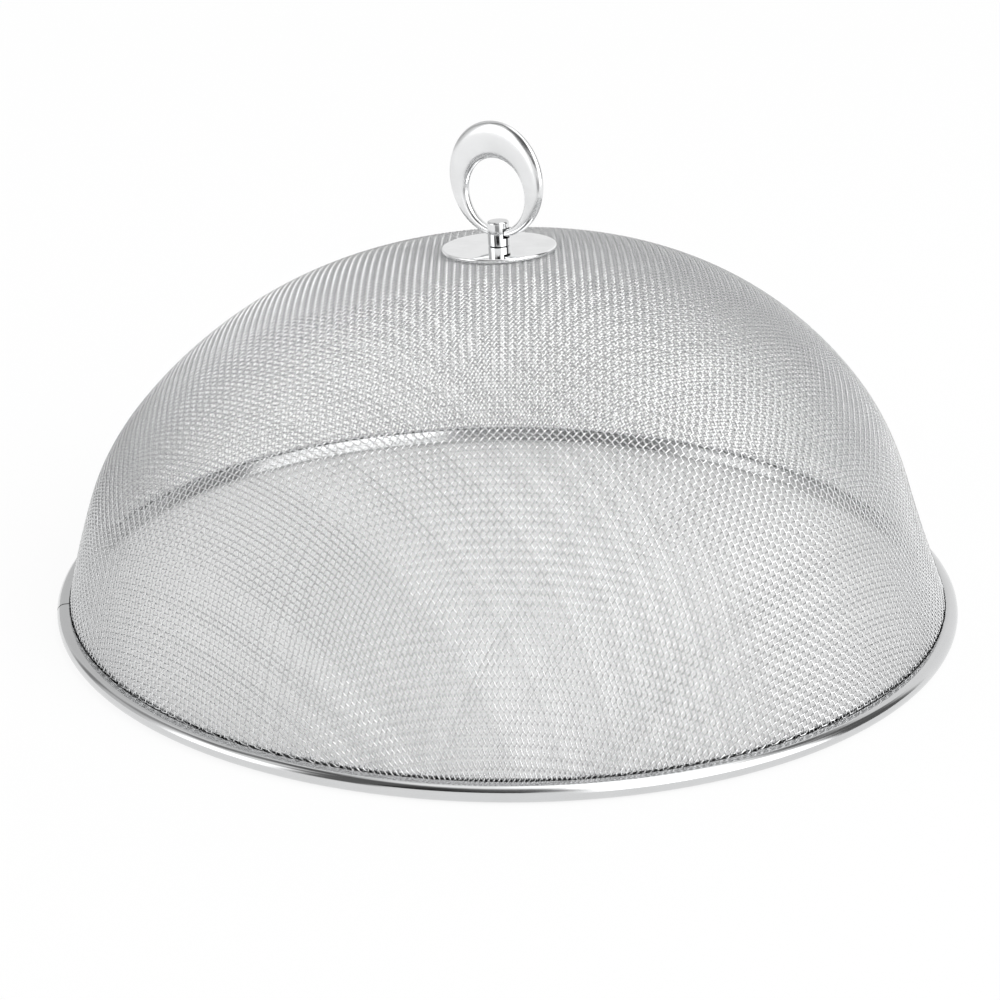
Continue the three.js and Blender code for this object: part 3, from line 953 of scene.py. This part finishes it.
# A split spring washer, drawn up flat: a square section swept round, with slanted ends
def makeSpringWasher():
    v = fixingValues
    edge = v["springEdge"]
    inner, outer, low, high = v["bore"], v["springOuter"], v["springBottom"], v["springTop"]
    section = [(inner + edge, low), (outer - edge, low), (outer, low + edge), (outer, high - edge)]
    section += [(outer - edge, high), (inner + edge, high), (inner, high - edge), (inner, low + edge)]
    section = np.array(section)
    slant = (section[:, 1] - low) / (high - low) * v["springSlant"]
    share = np.linspace(0, 1, v["springSteps"] + 1)[:, None]
    turn = np.radians(v["springSplit"] + slant + share * (360 - 2 * v["springSplit"]))
    points, faces = sweptShape(section, turn)
    washer = makeObject("springWasher", onHandle(points), faces, plainSteel, v["springSharpAngle"])
    placePiece(washer, "plain_steel", "spring_washer")


# A hexagon nut with its corners chamfered by a cone at both ends, and a chamfered bore
def makeNut():
    v = fixingValues
    flat, half = v["nutWidth"] / 2, (v["nutTop"] - v["nutBottom"]) / 2
    middle = (v["nutTop"] + v["nutBottom"]) / 2
    turn = np.radians(np.arange(v["nutSegments"]) * (360 / v["nutSegments"]))
    hexagon = flat / np.cos((turn + math.pi / 6) % (math.pi / 3) - math.pi / 6)
    face, bore, small = flat * v["nutFace"], v["bore"], v["boreChamfer"]
    fall = np.maximum(hexagon - face, v["leastChamfer"]) * math.tan(math.radians(v["nutChamfer"]))
    upper = [(bore, half - small), (bore + small, half), (face, half), (hexagon, half - fall)]
    rings = [(r, middle - z) for r, z in upper] + [(r, middle + z) for r, z in reversed(upper)]
    faces = gridFaces(len(rings), len(turn), closeRows=True, closeColumns=True)
    nut = makeObject("hexNut", onHandle(ringPoints(rings, turn)), faces, plainSteel, v["nutSharpAngle"])
    placePiece(nut, "plain_steel", "hex_nut")


makeNet()
makePlates()
makeRing()
makePost()
makeSpringWasher()
makeNut()
print("stage: handle")

# Metres and degrees here. The stretches are laid over each other in this order.
studioValues = {
    "floorSize": 8.0,
    "floorFront": -0.46,
    "floorHeight": -0.0003,
    "floorColour": (0.95, 0.95, 0.95, 1),
    "floorWhite": 0.9,
    # share of the floor's own light under the net: painted light that lifts the net's shade on the floor
    "underWhite": 0.26,
    "underCover": (0.168, 0.174),
    "skyElevation": (10.0, 70.0),
    "skyLevel": (0.98, 0.85),
    "stretches": (
        {"azimuth": (-200.0, -128.0), "elevation": (-12.0, 60.0), "edge": 8.0, "level": 0.67},
        {"azimuth": (-200.0, -171.0), "elevation": (-12.0, 21.0), "edge": 4.0, "level": 0.83},
        {"azimuth": (-128.0, -92.0), "elevation": (-12.0, 40.0), "edge": 6.0, "level": 0.66},
        {"azimuth": (168.0, 200.0), "elevation": (-12.0, 50.0), "edge": 6.0, "level": 0.83},
        {"azimuth": (-33.0, 10.0), "elevation": (-60.0, -6.0), "edge": 5.0, "level": 0.3},
        {"azimuth": (-200.0, 24.0), "elevation": (76.0, 100.0), "edge": 4.0, "level": 1.2},
        {"azimuth": (22.0, 200.0), "elevation": (60.0, 100.0), "edge": 6.0, "level": 1.8},
        {"azimuth": (20.0, 82.0), "elevation": (-8.0, 64.0), "edge": 5.0, "level": 2.3},
        {"azimuth": (-85.0, -55.0), "elevation": (-14.0, 32.0), "edge": 5.0, "level": 1.9},
        {"azimuth": (-36.0, 17.0), "elevation": (26.0, 73.0), "edge": 6.0, "level": 0.45},
        {"azimuth": (-34.0, 13.0), "elevation": (36.0, 63.0), "edge": 7.0, "level": 0.13},
        {"azimuth": (-34.0, -12.0), "elevation": (25.0, 60.0), "edge": 6.0, "level": 0.05},
        {"azimuth": (-62.0, -30.0), "elevation": (37.0, 70.0), "edge": 6.0, "level": 0.13},
        {"azimuth": (-51.0, -30.0), "elevation": (9.0, 44.0), "edge": 5.0, "level": 0.13},
        {"azimuth": (-126.0, -56.0), "elevation": (57.0, 71.0), "edge": 5.0, "level": 0.1},
        {"azimuth": (-114.0, -84.0), "elevation": (39.0, 60.0), "edge": 5.0, "level": 0.25},
        {"azimuth": (-114.0, -98.0), "elevation": (22.0, 44.0), "edge": 5.0, "level": 0.35},
        {"azimuth": (-126.0, -113.0), "elevation": (4.0, 26.0), "edge": 4.0, "level": 0.28},
        {"azimuth": (80.0, 111.0), "elevation": (-9.0, 31.0), "edge": 6.0, "level": 0.12},
        {"azimuth": (90.0, 118.0), "elevation": (27.0, 47.0), "edge": 5.0, "level": 0.12},
        {"azimuth": (104.0, 146.0), "elevation": (46.0, 58.0), "edge": 5.0, "level": 0.14},
    ),
    "keyPower": 5.0,
    "keySize": (1.2, 0.8),
    "keyPlace": (1.05, -1.0, 1.5),
    "keyTarget": (0, 0, 0.06),
    "darkPanel": {"across": (-0.4, 0.07), "front": -0.75, "upward": (0.27, 0.47), "level": 0.02},
}

whiteColour = (1, 1, 1, 1)


# A mask that is 1 where a value lies between two bounds, with soft edges
def between(tree, value, bounds, edge):
    rise = mapRange(tree, value, bounds[0] - edge, bounds[0] + edge, 0.0, 1.0, smooth=True)
    fall = mapRange(tree, value, bounds[1] - edge, bounds[1] + edge, 1.0, 0.0, smooth=True)
    return mathNode(tree, "MULTIPLY", rise, fall)


# The studio as the metal sees it: pale all round, with a large soft light to the right, a small one to the
# left, and dark stretches between. Azimuth is counted from the photograph's side of the cover, to the
# right. The camera itself sees white.
def makeWorld():
    v = studioValues
    world = bpy.data.worlds.new("studio")
    bpy.context.scene.world = world
    world.use_nodes = True
    tree = world.node_tree
    tree.nodes.clear()
    direction = addNode(tree, "ShaderNodeTexCoord").outputs["Generated"]
    split = addNode(tree, "ShaderNodeSeparateXYZ")
    feed(tree, split.inputs[0], direction)
    x, y, z = split.outputs
    elevation = mathNode(tree, "DEGREES", mathNode(tree, "ARCSINE", z))
    azimuth = mathNode(tree, "DEGREES", mathNode(tree, "ARCTAN2", x, mathNode(tree, "MULTIPLY", y, -1.0)))
    light = mapRange(tree, elevation, *v["skyElevation"], *v["skyLevel"])
    for stretch in v["stretches"]:
        across = between(tree, azimuth, stretch["azimuth"], stretch["edge"])
        upward = between(tree, elevation, stretch["elevation"], stretch["edge"])
        mixed = addNode(tree, "ShaderNodeMix", data_type="FLOAT")
        feed(tree, mixed.inputs["Factor"], mathNode(tree, "MULTIPLY", across, upward))
        feed(tree, mixed.inputs[2], light)
        mixed.inputs[3].default_value = stretch["level"]
        light = mixed.outputs[0]
    studio = addNode(tree, "ShaderNodeBackground")
    studio.inputs["Color"].default_value = whiteColour
    feed(tree, studio.inputs["Strength"], light)
    white = addNode(tree, "ShaderNodeBackground")
    white.inputs["Color"].default_value = whiteColour
    path = addNode(tree, "ShaderNodeLightPath")
    choose = addNode(tree, "ShaderNodeMixShader")
    feed(tree, choose.inputs[0], path.outputs["Is Camera Ray"])
    feed(tree, choose.inputs[1], studio.outputs[0])
    feed(tree, choose.inputs[2], white.outputs[0])
    feed(tree, addNode(tree, "ShaderNodeOutputWorld").inputs[0], choose.outputs[0])


# A flat four-cornered piece of the studio, with an empty material
def makeSheet(name, corners):
    mesh = bpy.data.meshes.new(name)
    mesh.from_pydata(corners, [], [(0, 1, 2, 3)])
    material = bpy.data.materials.new(name)
    material.use_nodes = True
    material.node_tree.nodes.clear()
    mesh.materials.append(material)
    sheet = addObject(name, mesh)
    return sheet, material.node_tree


# A pale floor. Beside the cover most of its light is its own, so that it stays white to the camera and in
# the metal, and the cover's shadow darkens it only a little. Under the net a quarter of its light is still
# its own: painted light that lifts the net's real shade there.
def makeFloor():
    v = studioValues
    half, front, low = v["floorSize"] / 2, v["floorFront"], v["floorHeight"]
    corners = [(-half, front, low), (half, front, low), (half, half, low), (-half, half, low)]
    floor, tree = makeSheet("floor", corners)
    matt = addNode(tree, "ShaderNodeBsdfDiffuse")
    matt.inputs["Color"].default_value = v["floorColour"]
    white = addNode(tree, "ShaderNodeEmission")
    white.inputs["Color"].default_value = whiteColour
    path = addNode(tree, "ShaderNodeLightPath").outputs
    seen = mathNode(tree, "MAXIMUM", path["Is Camera Ray"], path["Is Glossy Ray"])
    seen = mathNode(tree, "MAXIMUM", seen, path["Is Transmission Ray"])
    fromAxis = addNode(tree, "ShaderNodeVectorMath", operation="LENGTH")
    feed(tree, fromAxis.inputs[0], addNode(tree, "ShaderNodeTexCoord").outputs["Object"])
    levels = v["underWhite"], v["floorWhite"]
    beside = mapRange(tree, fromAxis.outputs["Value"], *v["underCover"], *levels, smooth=True)
    choose = addNode(tree, "ShaderNodeMixShader")
    feed(tree, choose.inputs[0], mathNode(tree, "MULTIPLY", seen, beside))
    feed(tree, choose.inputs[1], matt.outputs[0])
    feed(tree, choose.inputs[2], white.outputs[0])
    feed(tree, addNode(tree, "ShaderNodeOutputMaterial").inputs[0], choose.outputs[0])


# Stands where the photographer stood, so that the post has a dark line down its middle. Only metal sees it.
def makeDarkPanel():
    v = studioValues["darkPanel"]
    (left, right), (low, high), y = v["across"], v["upward"], v["front"]
    corners = [(left, y, low), (left, y, high), (right, y, high), (right, y, low)]
    panel, tree = makeSheet("darkPanel", corners)
    dark = addNode(tree, "ShaderNodeEmission")
    dark.inputs["Color"].default_value = whiteColour
    dark.inputs["Strength"].default_value = v["level"]
    feed(tree, addNode(tree, "ShaderNodeOutputMaterial").inputs[0], dark.outputs[0])
    panel.visible_camera = panel.visible_shadow = panel.visible_diffuse = False


def makeLamp():
    v = studioValues
    data = bpy.data.lights.new("keyLamp", "AREA")
    data.shape = "RECTANGLE"
    data.size, data.size_y = v["keySize"]
    data.energy = v["keyPower"]
    lamp = addObject("keyLamp", data)
    lamp.location = v["keyPlace"]
    lamp.rotation_euler = (Vector(v["keyTarget"]) - lamp.location).to_track_quat("-Z", "Y").to_euler()


makeWorld()
makeFloor()
makeDarkPanel()
makeLamp()
bpy.context.scene.view_settings.view_transform = "Standard"
print("stage: studio")
